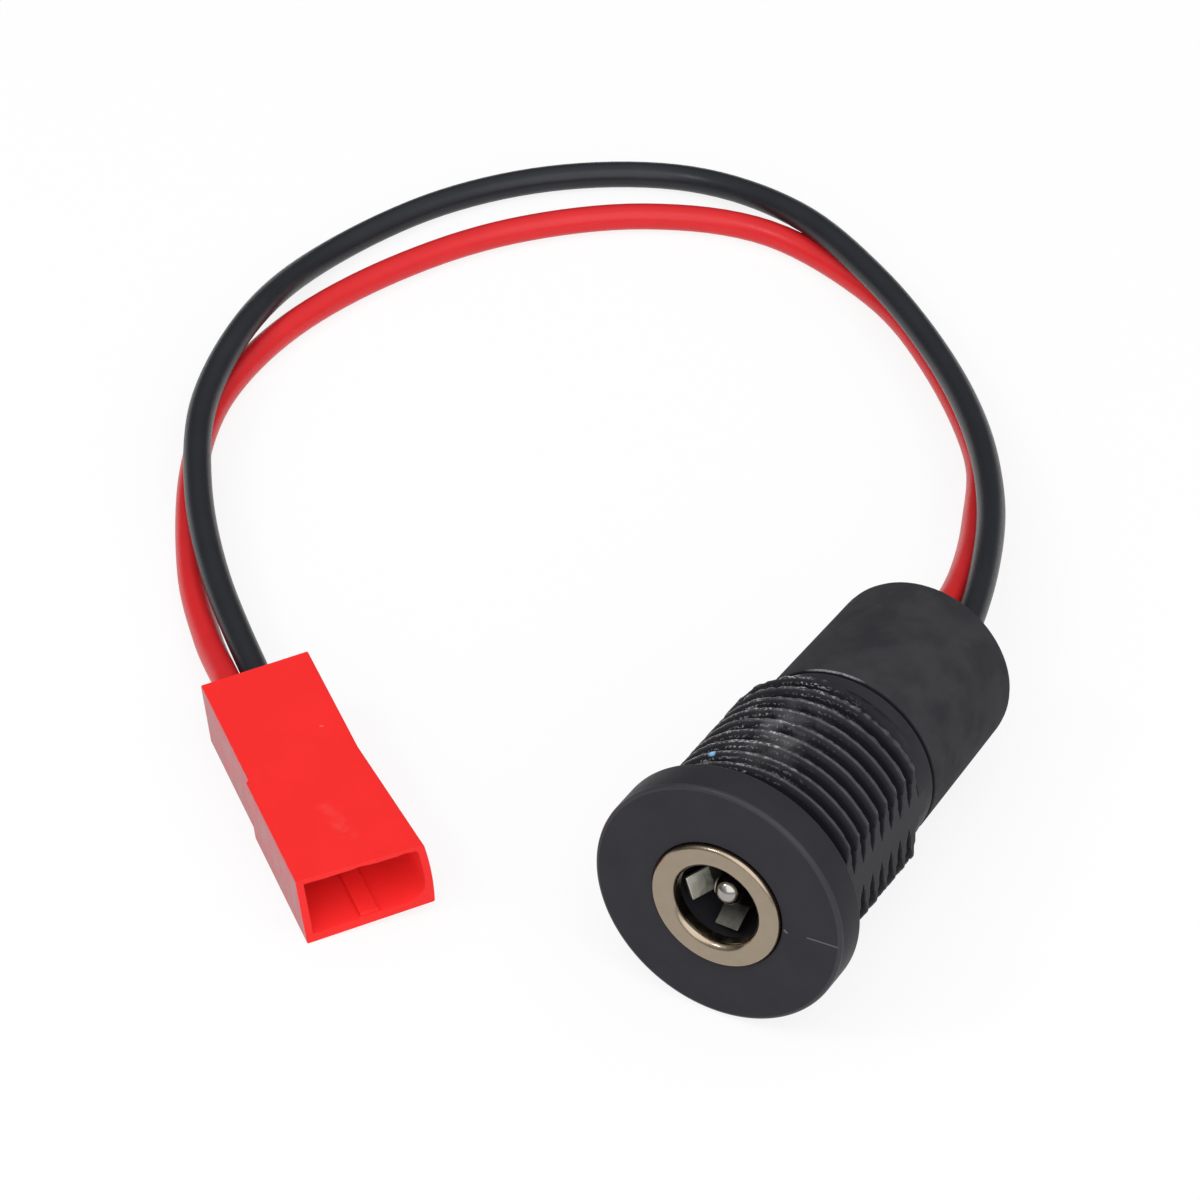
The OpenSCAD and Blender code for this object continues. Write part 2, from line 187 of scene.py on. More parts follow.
HOUSING_FRAME = (
    Matrix.Translation((HOUSING_REAR[0] * MM, HOUSING_REAR[1] * MM, HOUSING_LIFT * MM))
    @ Matrix.Rotation(HOUSING_TURN, 4, "Z")
    @ Matrix.Rotation(-HOUSING_ROLL, 4, "Y")
)


def jack_point(x, y, depth):
    """A point of the port's own frame, right, down and behind the flange, in the row frame."""
    return JACK_FRAME @ (Vector((x, y, depth)) * MM)


def housing_point(x, y, z):
    """A point of the connector's own frame, in the row frame."""
    return HOUSING_FRAME @ (Vector((x, y, z)) * MM)


# Node helpers


def new_material(name):
    """A new material, with its tree and its shader."""
    material = bpy.data.materials.new(name)
    material.use_nodes = True
    return material, material.node_tree, material.node_tree.nodes["Principled BSDF"]


def feed(tree, socket, value):
    """Links a socket to another one, or sets its number or vector."""
    if isinstance(value, bpy.types.NodeSocket):
        tree.links.new(value, socket)
    else:
        socket.default_value = value


def add_node(tree, kind, **inputs):
    """A node with some of its inputs linked or set."""
    node = tree.nodes.new(kind)
    for name, value in inputs.items():
        feed(tree, node.inputs[name.replace("_", " ")], value)
    return node


def object_coordinates(tree):
    """Place in the row frame, in metres."""
    return tree.nodes.new("ShaderNodeTexCoord").outputs["Object"]


def attribute(tree, name, output):
    """A value that the mesh holds for each vertex."""
    node = tree.nodes.new("ShaderNodeAttribute")
    node.attribute_name = name
    return node.outputs[output]


def noise_value(tree, size_mm, detail=3.0, vector=None):
    """Noise with features of about that size."""
    coordinates = vector or object_coordinates(tree)
    scale = 1 / (size_mm * MM)
    texture = add_node(tree, "ShaderNodeTexNoise", Vector=coordinates, Scale=scale, Detail=detail)
    return texture.outputs["Fac"]


def stretched(tree, x, y, z):
    """The piece's own coordinates, scaled along each axis."""
    mapping = add_node(tree, "ShaderNodeMapping", Vector=object_coordinates(tree), Scale=(x, y, z))
    return mapping.outputs["Vector"]


def remap(tree, value, low, high, to_low=0.0, to_high=1.0):
    """Maps a range to another one, and stops at its ends."""
    mapped = add_node(tree, "ShaderNodeMapRange", Value=value)
    for index, number in zip((1, 2, 3, 4), (low, high, to_low, to_high)):
        mapped.inputs[index].default_value = number
    return mapped.outputs[0]


def mix_colour(tree, factor, first, second):
    """The first colour at 0 and the second at 1."""
    mixed = tree.nodes.new("ShaderNodeMix")
    mixed.data_type = "RGBA"
    for index, value in ((0, factor), (6, first), (7, second)):
        feed(tree, mixed.inputs[index], (*value, 1) if isinstance(value, tuple) else value)
    return mixed.outputs[2]


def maths(tree, operation, first, second):
    """A sum, product or the like of two numbers."""
    node = tree.nodes.new("ShaderNodeMath")
    node.operation = operation
    feed(tree, node.inputs[0], first)
    feed(tree, node.inputs[1], second)
    return node.outputs[0]


def vector_maths(tree, operation, first, second):
    """An operation on two vectors, or on a vector and a scale."""
    node = tree.nodes.new("ShaderNodeVectorMath")
    node.operation = operation
    feed(tree, node.inputs[0], first)
    feed(tree, node.inputs["Scale" if operation == "SCALE" else 1], second)
    return node.outputs["Value" if operation in ("DOT_PRODUCT", "DISTANCE") else "Vector"]


def mark(tree, start, end, width_mm):
    """1 on a short mark between two points of the row frame, and 0 away from it."""
    run = end - start
    from_start = vector_maths(tree, "SUBTRACT", object_coordinates(tree), start)
    along = vector_maths(tree, "DOT_PRODUCT", from_start, run / run.length_squared)
    nearest = vector_maths(tree, "SCALE", run, remap(tree, along, 0, 1))
    away = vector_maths(tree, "DISTANCE", from_start, nearest)
    return remap(tree, away, 0.2 * width_mm * MM, 0.5 * width_mm * MM, 1, 0)


def bump(tree, shader, height, depth_mm):
    """Fine grain on a surface, of at most that depth."""
    bumped = add_node(tree, "ShaderNodeBump", Height=height, Distance=depth_mm * MM)
    tree.links.new(bumped.outputs["Normal"], shader.inputs["Normal"])


# Materials


def black_plastic(name, low, high, shine, roughness, add_wear_and_painted_light=None):
    """Satin black moulding with a faint grain; the wear function given marks it, paints shade and
    highlights into its colour, and says where it is polished.
    """
    material, tree, shader = new_material(name)
    grain = noise_value(tree, 0.12, 4)
    colour = mix_colour(tree, noise_value(tree, 3), low, high)
    rough = remap(tree, grain, 0.3, 0.7, roughness * 0.9, roughness * 1.1)
    shader.inputs["Specular IOR Level"].default_value = shine
    if add_wear_and_painted_light:
        colour, polish_and_painted_highlight = add_wear_and_painted_light(tree, colour)
        rough = maths(tree, "SUBTRACT", rough, maths(tree, "MULTIPLY", polish_and_painted_highlight, 0.24))
        tree.links.new(remap(tree, polish_and_painted_highlight, 0, 1, shine, 0.35), shader.inputs["Specular IOR Level"])
    tree.links.new(colour, shader.inputs["Base Color"])
    tree.links.new(rough, shader.inputs["Roughness"])
    bump(tree, shader, grain, 0.006)
    return material


def body_wear_and_painted_light(tree, colour):
    """Painted shade in the grooves, painted highlights on crests and edges, a painted sheen band and
    scuffs with painted glints on the thread, and small marks.
    """
    crest = attribute(tree, "crest", "Fac")
    # Painted shade: the grooves and lower flanks are darkened as if the ridges shaded them
    groove = remap(tree, crest, 0.45, 0.97, 0.8, 0)
    colour = mix_colour(tree, groove, colour, (0.005, 0.0048, 0.0075))
    polish_and_painted_highlight = maths(tree, "MULTIPLY", attribute(tree, "edged", "Fac"), remap(tree, crest, 0.86, 1))
    # Painted highlight: the crests' corners and the flange's front edge are lightened as if they caught
    # the lamps; the same mask makes them glossier
    colour = mix_colour(tree, maths(tree, "MULTIPLY", polish_and_painted_highlight, 0.22), colour, (0.09, 0.09, 0.098))
    colour = thread_specks_and_painted_sheen(tree, colour, crest)
    return small_marks(tree, colour), polish_and_painted_highlight


def thread_specks_and_painted_sheen(tree, colour, crest):
    """A painted grey sheen band along the top of the barrel, and fine pale specks in rows along the
    thread: scuffs, partly painted glints.
    """
    along_thread = attribute(tree, "along_thread", "Vector")
    # Painted sheen: a grey band on the top of the barrel, where the lamps' sheen would lie
    painted_sheen = remap(tree, noise_value(tree, 0.8, 5, along_thread), 0.35, 0.7, 0, 0.9)
    painted_sheen = maths(tree, "MULTIPLY", painted_sheen, attribute(tree, "painted_sheen_band", "Fac"))
    colour = mix_colour(tree, painted_sheen, colour, (0.15, 0.15, 0.16))
    patches = remap(tree, noise_value(tree, 1.8, 2, along_thread), 0.4, 0.6, 0.15, 1)
    rows = remap(tree, maths(tree, "PINGPONG", maths(tree, "MULTIPLY", crest, 2.5), 0.5), 0.2, 0.45)
    # Scuffs on the upper left of the thread, partly painted glints where the lamps would catch the rough
    # crests
    wear_and_painted_highlight = maths(tree, "MULTIPLY", attribute(tree, "scuff_and_glint", "Fac"), patches)
    wear_and_painted_highlight = maths(tree, "MULTIPLY", wear_and_painted_highlight, rows)
    specks = remap(tree, noise_value(tree, 0.13, 2, along_thread), 0.52, 0.62)
    return mix_colour(tree, maths(tree, "MULTIPLY", specks, wear_and_painted_highlight), colour, (0.45, 0.45, 0.46))


def small_marks(tree, colour):
    """A scratch and a fleck on the flange's face, and a blue speck on the thread."""
    marks = (
        (jack_point(6.2, -0.1, 0), jack_point(8.2, -0.25, 0), 0.14, (0.1, 0.1, 0.1)),
        (jack_point(4.65, 0, 0), jack_point(4.8, 0.1, 0), 0.2, (0.12, 0.12, 0.12)),
        (jack_point(-3.75, -6.3, 5.8), jack_point(-4, -6.2, 5.65), 0.45, (0.25, 0.58, 0.85)),
    )
    for start, end, width_mm, mark_colour in marks:
        colour = mix_colour(tree, mark(tree, start, end, width_mm), colour, mark_colour)
    return colour


def cover_wear_and_painted_light(tree, colour):
    """Painted shade in the seam at the cover's front edge, a painted highlight along the top of that
    edge, and blotches.
    """
    blotches = remap(tree, noise_value(tree, 2.2, 4), 0.42, 0.62, 0, 0.3)
    colour = mix_colour(tree, blotches, colour, (0.014, 0.0135, 0.0185))
    origin = jack_point(0, 0, 0)
    from_face = vector_maths(tree, "SUBTRACT", object_coordinates(tree), origin)
    depth = vector_maths(tree, "DOT_PRODUCT", from_face, (jack_point(0, 0, 1) - origin) / MM)
    # Painted shade: the cover's front chamfer is darkened into a dark line, as if shaded in the seam's
    # gap
    seam = remap(tree, depth, (SEAM + 0.1) * MM, (SEAM + 0.22) * MM, 0.9, 0)
    colour = mix_colour(tree, seam, colour, (0.004, 0.004, 0.006))
    # Painted highlight: a pale, patchy line along the top of the cover's front edge, where it would catch
    # the lamps; it also makes that edge glossier
    topmost = (jack_point(-0.17, -0.985, 0) - origin) / MM
    height = remap(tree, vector_maths(tree, "DOT_PRODUCT", from_face, topmost), 6.1 * MM, 6.4 * MM)
    from_edge = maths(tree, "ABSOLUTE", maths(tree, "SUBTRACT", depth, (SEAM + 0.19) * MM), 0)
    edge = remap(tree, from_edge, 0.03 * MM, 0.09 * MM, 1, 0)
    highlight_patches = remap(tree, noise_value(tree, 0.25, 4), 0.35, 0.6, 0.2, 0.9)
    wear_and_painted_highlight = maths(tree, "MULTIPLY", maths(tree, "MULTIPLY", edge, height), highlight_patches)
    return mix_colour(tree, wear_and_painted_highlight, colour, (0.3, 0.3, 0.31)), wear_and_painted_highlight


def plated_metal(name, low, high, roughness):
    """Metal with faint clouds in its colour and a fine uneven gloss."""
    material, tree, shader = new_material(name)
    cloud = noise_value(tree, 0.8)
    fine = noise_value(tree, 0.3, 3)
    tree.links.new(mix_colour(tree, cloud, low, high), shader.inputs["Base Color"])
    rough = remap(tree, fine, 0.3, 0.7, roughness * 0.8, roughness * 1.25)
    tree.links.new(rough, shader.inputs["Roughness"])
    shader.inputs["Metallic"].default_value = 1
    bump(tree, shader, fine, 0.0002)
    return material


def red_plastic():
    """Moulded red plastic with painted light brightening the inside of its mouth, pale streaks on its
    left side that are partly a film and partly a painted reflection, and faint marks on top.
    """
    material, tree, shader = new_material("red_plastic")
    cloud = noise_value(tree, 5)
    grain = noise_value(tree, 0.15, 4)
    colour = mix_colour(tree, cloud, (0.79, 0.018, 0.017), (0.88, 0.024, 0.022))
    # Painted light: the faces inside the mouth are brightened to stand in for light that reaches into it
    painted_mouth_light = maths(tree, "MULTIPLY", mouth_inside(tree), 0.9)
    colour = mix_colour(tree, painted_mouth_light, colour, (0.96, 0.032, 0.031))
    # Partly a film and partly painted reflection: the left side is paled with streaks
    colour = mix_colour(tree, side_film_and_reflection(tree), colour, (0.4, 0.265, 0.28))
    smudge = mark(tree, housing_point(-0.2, -14.4, HOUSING_H), housing_point(0.6, -17.2, HOUSING_H), 1.4)
    patchy = remap(tree, noise_value(tree, 0.9, 3), 0.4, 0.7, 0, 0.06)
    colour = mix_colour(tree, maths(tree, "MULTIPLY", smudge, patchy), colour, (0.95, 0.4, 0.38))
    speck = mark(tree, housing_point(2.15, -7.1, HOUSING_H), housing_point(2.25, -7.15, HOUSING_H), 0.22)
    colour = mix_colour(tree, maths(tree, "MULTIPLY", speck, 0.25), colour, (0.95, 0.3, 0.25))
    tree.links.new(colour, shader.inputs["Base Color"])
    tree.links.new(remap(tree, grain, 0.3, 0.7, 0.45, 0.58), shader.inputs["Roughness"])
    shader.inputs["Specular IOR Level"].default_value = 0.2
    bump(tree, shader, grain, 0.004)
    return material


def mouth_inside(tree):
    """1 on the faces that look inwards to the middle of the connector's mouth, and 0 on the others."""
    middle = housing_point(0, -(MOUTH_BACK + HOUSING_L) / 2, HOUSING_H / 2)
    outwards = vector_maths(tree, "SUBTRACT", object_coordinates(tree), middle)
    normal = tree.nodes.new("ShaderNodeTexCoord").outputs["Normal"]
    return remap(tree, vector_maths(tree, "DOT_PRODUCT", normal, outwards), -0.4 * MM, 0, 1, 0)


def side_film_and_reflection(tree):
    """How much pale streaking lies there, on the connector's outer left side only: partly a film, partly
    a painted reflection of the white floor at a grazing angle.
    """
    leftwards = -HOUSING_FRAME.col[0].to_3d()
    across = vector_maths(tree, "SUBTRACT", object_coordinates(tree), housing_point(0, 0, 0))
    outwards = vector_maths(tree, "DOT_PRODUCT", across, leftwards)
    outside = remap(tree, outwards, (REAR_SIDE - 0.14) * MM, (REAR_SIDE - 0.04) * MM)
    normal = tree.nodes.new("ShaderNodeTexCoord").outputs["Normal"]
    facing = remap(tree, vector_maths(tree, "DOT_PRODUCT", normal, leftwards), 0.6, 0.9)
    streaks = remap(tree, noise_value(tree, 0.5, 4, stretched(tree, 1, 1, 0.3)), 0.3, 0.7, 0.4, 0.98)
    return maths(tree, "MULTIPLY", streaks, maths(tree, "MULTIPLY", outside, facing))


def insulation(name, low, high):
    """Soft satin insulation of a wire."""
    material, tree, shader = new_material(name)
    cloud = noise_value(tree, 3)
    grain = noise_value(tree, 0.2, 3)
    tree.links.new(mix_colour(tree, cloud, low, high), shader.inputs["Base Color"])
    tree.links.new(remap(tree, grain, 0.3, 0.7, 0.28, 0.4), shader.inputs["Roughness"])
    shader.inputs["Specular IOR Level"].default_value = 0.3
    bump(tree, shader, grain, 0.006)
    return material


# Meshes


def mesh_object(name, body, material, place, sharp_degrees=30):
    """An object of the part from a bmesh in the frame of its place, smooth except at its sharp edges."""
    body.transform(place)
    bmesh.ops.remove_doubles(body, verts=body.verts, dist=1e-7)
    bmesh.ops.dissolve_degenerate(body, edges=body.edges, dist=1e-7)
    bmesh.ops.recalc_face_normals(body, faces=body.faces)
    for face in body.faces:
        face.smooth = True
    for edge in body.edges:
        edge.smooth = edge.calc_face_angle(0) < math.radians(sharp_degrees)
    mesh = bpy.data.meshes.new(name)
    body.to_mesh(mesh)
    body.free()
    mesh.materials.append(material)
    made = bpy.data.objects.new(name, mesh)
    bpy.context.scene.collection.objects.link(made)
    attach(made, "root")
    return made


def arc(x, y, radius, start, end, steps):
    """Points of an arc about x, y, with angles in degrees."""
    angles = [math.radians(start + (end - start) * i / steps) for i in range(steps + 1)]
    return [(x + radius * math.cos(a), y + radius * math.sin(a)) for a in angles]


def around_axis(angle, radius, depth):
    """A place about the port's axis, in metres."""
    return (radius * math.cos(angle) * MM, radius * math.sin(angle) * MM, depth * MM)


def ring_at(body, angles, depth, radius_at):
    """A ring of vertices about the port's axis."""
    return [body.verts.new(around_axis(angle, radius_at(angle), depth)) for angle in angles]


def join_rings(body, ring, following):
    """Faces between two closed rings of vertices."""
    count = len(ring)
    for i in range(count):
        j = (i + 1) % count
        body.faces.new((ring[i], ring[j], following[j], following[i]))


def lathe(profile, closed, steps=128):
    """Turns a profile of radius and depth about the port's axis."""
    body = bmesh.new()
    angles = [TURN * i / steps for i in range(steps)]
    rings = [ring_at(body, angles, depth, lambda a, r=radius: r) for radius, depth in profile]
    following = rings[1:] + (rings[:1] if closed else [])
    for ring, after in zip(rings, following):
        join_rings(body, ring, after)
    return body


# Threaded body


def flat_limit(angle):
    """Radius of the nearest flat at that angle."""
    away = (angle - FLAT_TURN + math.pi / 2) % math.pi - math.pi / 2
    return FLAT_REACH / max(math.cos(away), 0.5)


def barrel_angles():
    """Columns of the barrel, close together where the thread runs out on the flats."""
    coarse, fine = 2.0, 0.6
    first, last = 5, 31
    angles = []
    angle = 0.0
    while angle < 360:
        angles.append(math.radians(angle) + FLAT_TURN)
        from_flat = abs((angle + 90) % 180 - 90)
        angle += fine if first <= from_flat < last else coarse
    return angles


def plain_thread(share):
    """Height of the thread's plain form, from 0 at the root to 1 at the crest."""
    share = share % 1
    if share < FLANK_SHARE:
        return share / FLANK_SHARE
    return min(1.0, max(0.0, (1 - ROOT_SHARE - share) / FLANK_SHARE))


def turns_at(angle, depth):
    """Turns of the thread from its start to that place."""
    return (depth - THREAD_START) / THREAD_PITCH - angle / TURN


def ridge_left(angle, depth):
    """1 along the thread, falling to 0 where its ridge ends at the rear."""
    ridge = math.floor(turns_at(angle, depth)) + angle / TURN
    return min(1.0, max(0.0, (RIDGE_END - ridge) / THREAD_FADE))


def thread_height(angle, depth, samples=7):
    """Height of the thread there, with rounded corners; the ridge fades out at its rear end."""
    turns = turns_at(angle, depth)
    steps = [THREAD_ROUNDING * (2 * i / (samples - 1) - 1) for i in range(samples)]
    return ridge_left(angle, depth) * sum(plain_thread(turns + step) for step in steps) / samples


def frayed(depth):
    """How uneven the crests are, most of all near the thread's rear end."""
    return FRAY_LEAST + FRAY_MORE * min(1.0, max(0.0, (depth - FRAY_START) / FRAY_RUN))


def thread_shares():
    """Shares of the pitch at which the thread's form is drawn, closest at its corners."""
    corners = (0, FLANK_SHARE, FLANK_SHARE + CREST_SHARE, 1 - ROOT_SHARE)
    steps = (-THREAD_ROUNDING, -THREAD_ROUNDING / 3, THREAD_ROUNDING / 3, THREAD_ROUNDING)
    near = [corner + step for corner in corners for step in steps]
    middles = [FLANK_SHARE / 2, FLANK_SHARE * 1.5 + CREST_SHARE, 1 - ROOT_SHARE / 2]
    return sorted(share % 1 for share in near + middles)


def thread_surface(body, angles):
    """Grid whose rows follow the thread; its first and last rows lie level. Returns those two rings."""
    shares = thread_shares()
    per_turn = len(shares)
    first_turn = -1
    turns = math.ceil((THREAD_END - THREAD_START) / THREAD_PITCH) + 1 - first_turn

    def vertex(angle, row):
        turn = first_turn + row // per_turn + shares[row % per_turn] + angle / TURN
        depth = min(max(THREAD_START + THREAD_PITCH * turn, LAND_END), THREAD_END)
        height = thread_height(angle, depth)
        radius = THREAD_R - THREAD_DEPTH * (1 - height)
        place = Vector((radius * math.cos(angle), radius * math.sin(angle), depth))
        radius += frayed(depth) * height * noise.noise(place * 2.2)
        radius = min(radius, flat_limit(angle), LAND_R)
        return body.verts.new(around_axis(angle, radius, depth))

    rows = per_turn * turns
    columns = [[vertex(angle, row) for row in range(rows)] for angle in angles]
    for column, following in zip(columns, columns[1:]):
        for row in range(rows - 1):
            body.faces.new((column[row], following[row], following[row + 1], column[row + 1]))
    last, first = columns[-1], columns[0]
    for row in range(rows - per_turn - 1):
        body.faces.new((last[row], first[row + per_turn], first[row + per_turn + 1], last[row + 1]))
    return [column[0] for column in columns], [column[-1] for column in columns]


def bell(value, middle, reach):
    """Falls smoothly from 1 at the middle to 0 at that reach."""
    share = min(1.0, abs(value - middle) / reach)
    return 0.5 + 0.5 * math.cos(math.pi * share)


def add_thread_layers(body):
    """How high the thread is, where it has edges, scuffs with painted glints or a painted sheen band, and
    coordinates along its crests.
    """
    crest = body.verts.layers.float.new("crest")
    edged = body.verts.layers.float.new("edged")
    scuff_and_glint = body.verts.layers.float.new("scuff_and_glint")
    painted_sheen_band = body.verts.layers.float.new("painted_sheen_band")
    along_thread = body.verts.layers.float_vector.new("along_thread")
    for vert in body.verts:
        x, y, depth = vert.co / MM
        radius = math.hypot(x, y)
        angle = math.atan2(y, x)
        lead = depth - THREAD_PITCH * angle / TURN
        vert[along_thread] = Vector((SPECK_STRETCH * THREAD_R * angle, lead, radius)) * MM
        height = (radius - THREAD_R + THREAD_DEPTH) / THREAD_DEPTH
        on_barrel = LAND_END <= depth < THREAD_END and -0.1 < height < 1.1
        vert[crest] = 1.0
        if on_barrel and radius < flat_limit(angle) - 0.01:
            vert[crest] = 1 - (1 - min(1.0, max(0.0, height))) * ridge_left(angle, depth)
            vert[edged] = ridge_left(angle, depth)
            # Scuffs with painted glints, on the upper left of the barrel
            vert[scuff_and_glint] = (0.5 + 0.5 * vert[crest]) * bell(angle, SCUFF_GLINT_ANGLE, SCUFF_GLINT_REACH)
            # Painted sheen band on the top of the barrel
            vert[painted_sheen_band] = bell(angle, SHEEN_ANGLE, SHEEN_REACH) * bell(depth, SHEEN_DEPTH, SHEEN_LENGTH)
        elif 0.001 < depth < FRONT_EDGE - 0.001 and radius > FLANGE_R - FRONT_EDGE:
            vert[edged] = EDGE_POLISH_AND_HIGHLIGHT


def jack_body(material):
    """The flange, the threaded barrel, the neck and the spigot as one closed form."""
    body = bmesh.new()
    angles = barrel_angles()
    front = (
        [(BORE_R, RING_SEAT), (RING_SEAT_R, RING_SEAT), (RING_SEAT_R, 0.06), (RING_SEAT_R + 0.06, 0)]
        + arc(FLANGE_R - FRONT_EDGE, FRONT_EDGE, FRONT_EDGE, -90, 0, 8)
        + arc(FLANGE_R - BACK_EDGE, FLANGE_T - BACK_EDGE, BACK_EDGE, 0, 90, 6)
    )
    rear = [
        (NECK_R, THREAD_END), (NECK_R, SEAM - SEAM_EDGE), (NECK_R - SEAM_EDGE, SEAM),
        (SPIGOT_R, SEAM), (SPIGOT_R, SPIGOT_END),
        (REAR_BORE_R, SPIGOT_END), (REAR_BORE_R, CARRIER_DEPTH), (BORE_R, CARRIER_DEPTH),
    ]
    rings = [ring_at(body, angles, depth, lambda a, r=radius: r) for radius, depth in front]
    for depth in (FLANGE_T, LAND_END):
        rings.append(ring_at(body, angles, depth, lambda a: min(LAND_R, flat_limit(a))))
    first_row, last_row = thread_surface(body, angles)
    rear_rings = [ring_at(body, angles, depth, lambda a, r=radius: r) for radius, depth in rear]
    for ring, following in zip(rings, rings[1:] + [first_row]):
        join_rings(body, ring, following)
    for ring, following in zip([last_row] + rear_rings, rear_rings + rings[:1]):
        join_rings(body, ring, following)
    add_thread_layers(body)
    return mesh_object("jack_body_moulding", body, material, JACK_FRAME, sharp_degrees=24)


def front_ring(material):
    """The metal ring, with a round lip into the socket."""
    profile = (
        [(SOCKET_R, RING_REAR), (RING_SHANK_R, RING_REAR), (RING_SHANK_R, RING_SEAT), (RING_R, RING_SEAT)]
        + arc(RING_R - RING_ROUND, RING_ROUND - RING_PROUD, RING_ROUND, 0, -90, 8)
        + arc(SOCKET_R + RING_LIP, RING_LIP - RING_PROUD, RING_LIP, -90, -180, 10)
    )
    return mesh_object("front_ring_turned", lathe(profile, closed=True), material, JACK_FRAME)


def centre_pin(material):
    """The pin, from its domed tip to the cup for its wire."""
    profile = arc(0, PIN_DEPTH + PIN_R, PIN_R, -90, 0, 16) + [
        (PIN_R, PIN_SHANK_FRONT), (PIN_SHANK_R, PIN_SHANK_FRONT), (PIN_SHANK_R, PIN_COLLAR_FRONT),
        (PIN_COLLAR_R, PIN_COLLAR_FRONT), (PIN_COLLAR_R, PIN_COLLAR_REAR), (CUP_R, PIN_COLLAR_REAR),
        (CUP_R, CUP_END), (CUP_HOLE_R, CUP_END), (CUP_HOLE_R, CUP_FLOOR), (0, CUP_FLOOR),
    ]
    return mesh_object("centre_pin_turned", lathe(profile, closed=False), material, JACK_FRAME)


# Connector housing


def rounded_section(left, right, low, high, radii, steps=5, side_points=12):
    """Points round a section, from its lower right corner upwards, with a radius for each corner."""
    corners = ((right, low, 1, -1), (right, high, 1, 1), (left, high, -1, 1), (left, low, -1, -1))
    points = []
    for quarter, ((x, z, side, level), radius) in enumerate(zip(corners, radii)):
        start = 90 * quarter - 90
        corner = arc(x - side * radius, z - level * radius, radius, start, start + 90, steps)
        if points:
            points += between(points[-1], corner[0], side_points)
        points += corner
    return points


def between(first, last, count):
    """Evenly spaced points between two points, without them."""
    shares = [i / count for i in range(1, count)]
    return [(first[0] + (last[0] - first[0]) * t, first[1] + (last[1] - first[1]) * t) for t in shares]


def swollen(points, share):
    """The section's points, bulged on the right below the top edge, as the mouth's right wall is."""
    def out(x, z):
        below = 1 - z / HOUSING_H
        return x + share * (SWELL_OUT * below - SWELL_IN * below**2) if x > 0 else x

    return [(out(x, z), z) for x, z in points]


def solid_object(name, sections):
    """A closed solid through sections, each a depth and its points, as an object for cutting."""
    body = bmesh.new()
    loops = [[body.verts.new((x * MM, y * MM, z * MM)) for x, z in points] for y, points in sections]
    for loop, following in zip(loops, loops[1:]):
        join_rings(body, loop, following)
    body.faces.new(loops[0])
    body.faces.new(loops[-1])
    bmesh.ops.recalc_face_normals(body, faces=body.faces)
    mesh = bpy.data.meshes.new(name)
    body.to_mesh(mesh)
    body.free()
    made = bpy.data.objects.new(name, mesh)
    bpy.context.scene.collection.objects.link(made)
    return made


def combine(target, tools, operation):
    """Cuts the tools from the target, or joins them to it, and removes them."""
    for tool in tools:
        change = target.modifiers.new(tool.name, "BOOLEAN")
        change.operation = operation
        change.solver = "EXACT"
        change.object = tool
    result = target.evaluated_get(bpy.context.evaluated_depsgraph_get())
    target.data = bpy.data.meshes.new_from_object(result)
    target.modifiers.clear()
    for tool in tools:
        bpy.data.objects.remove(tool)


def housing_outside():
    """The outside of the connector, with a step on its left and a flare on its right."""
    edges = (0.12, 0.12, 0.12, 0.12)
    sections = []
    for depth, left, right, swell in (
        (0, REAR_SIDE, REAR_SIDE, 0),
        (STEP_FRONT, REAR_SIDE, REAR_SIDE, 0),
        (STEP_BACK, STEP_SIDE, REAR_SIDE, 0),
        (HOUSING_L, STEP_SIDE, FLARE_SIDE, 1),
    ):
        sections.append((-depth, swollen(rounded_section(-left, right, 0, HOUSING_H, edges), swell)))
    return solid_object("housing_outside", sections)


def wavy(x, z, roof, uneven):
    """Height of a point of the mouth, which varies along its edge under the roof."""
    return z + uneven * noise.noise((1.1 * x, 0, 3.1)) if z > roof - 0.01 else z


def housing_mouth(past=0.5):
    """The mouth: round at its lower right corner, with an uneven edge under the roof at the front."""
    radii = (1.3, 0.25, 0.12, 0.12)
    left = -STEP_SIDE + MOUTH_WALL
    sections = []
    roof = HOUSING_H - MOUTH_ROOF
    for depth, right, swell, uneven in (
        (MOUTH_BACK, REAR_SIDE - MOUTH_WALL, 0, 0),
        (HOUSING_L - 1.5, FLARE_SIDE - MOUTH_WALL - 0.12, 0.85, 0),
        (HOUSING_L, FLARE_SIDE - MOUTH_WALL, 1, ROOF_WAVES),
        (HOUSING_L + past, FLARE_SIDE - MOUTH_WALL, 1, ROOF_WAVES),
    ):
        points = swollen(rounded_section(left, right, MOUTH_FLOOR, roof, radii), swell)
        sections.append((-depth, [(x, wavy(x, z, roof, uneven)) for x, z in points]))
    return solid_object("housing_mouth", sections)


def housing_way(x, past=0.5):
    """Way for one contact, with the hole for its pin."""
    middle = HOUSING_H / 2
    edges = (0.1, 0.1, 0.1, 0.1)
    points = rounded_section(x - WAY_W / 2, x + WAY_W / 2, middle - WAY_H / 2, middle + WAY_H / 2, edges)
    way = solid_object("housing_way", [(past, points), (-WAY_END, points)])
    circle = arc(x, middle, PIN_HOLE_R, 0, 345, 23)
    hole = solid_object("housing_pin_hole", [(-WAY_END + past, circle), (-MOUTH_BACK - past, circle)])
    return [way, hole]


def housing_rail(sunk=0.25):
    """The rail on the mouth's floor, sunk a little into the floor and the rear wall."""
    edges = (0.08, 0.08, 0.08, 0.08)
    low, high = MOUTH_FLOOR - sunk, MOUTH_FLOOR + RAIL_H
    points = rounded_section(RAIL_X - RAIL_W / 2, RAIL_X + RAIL_W / 2, low, high, edges)
    return solid_object("housing_rail", [(-MOUTH_BACK + sunk, points), (RAIL_BACK - HOUSING_L, points)])


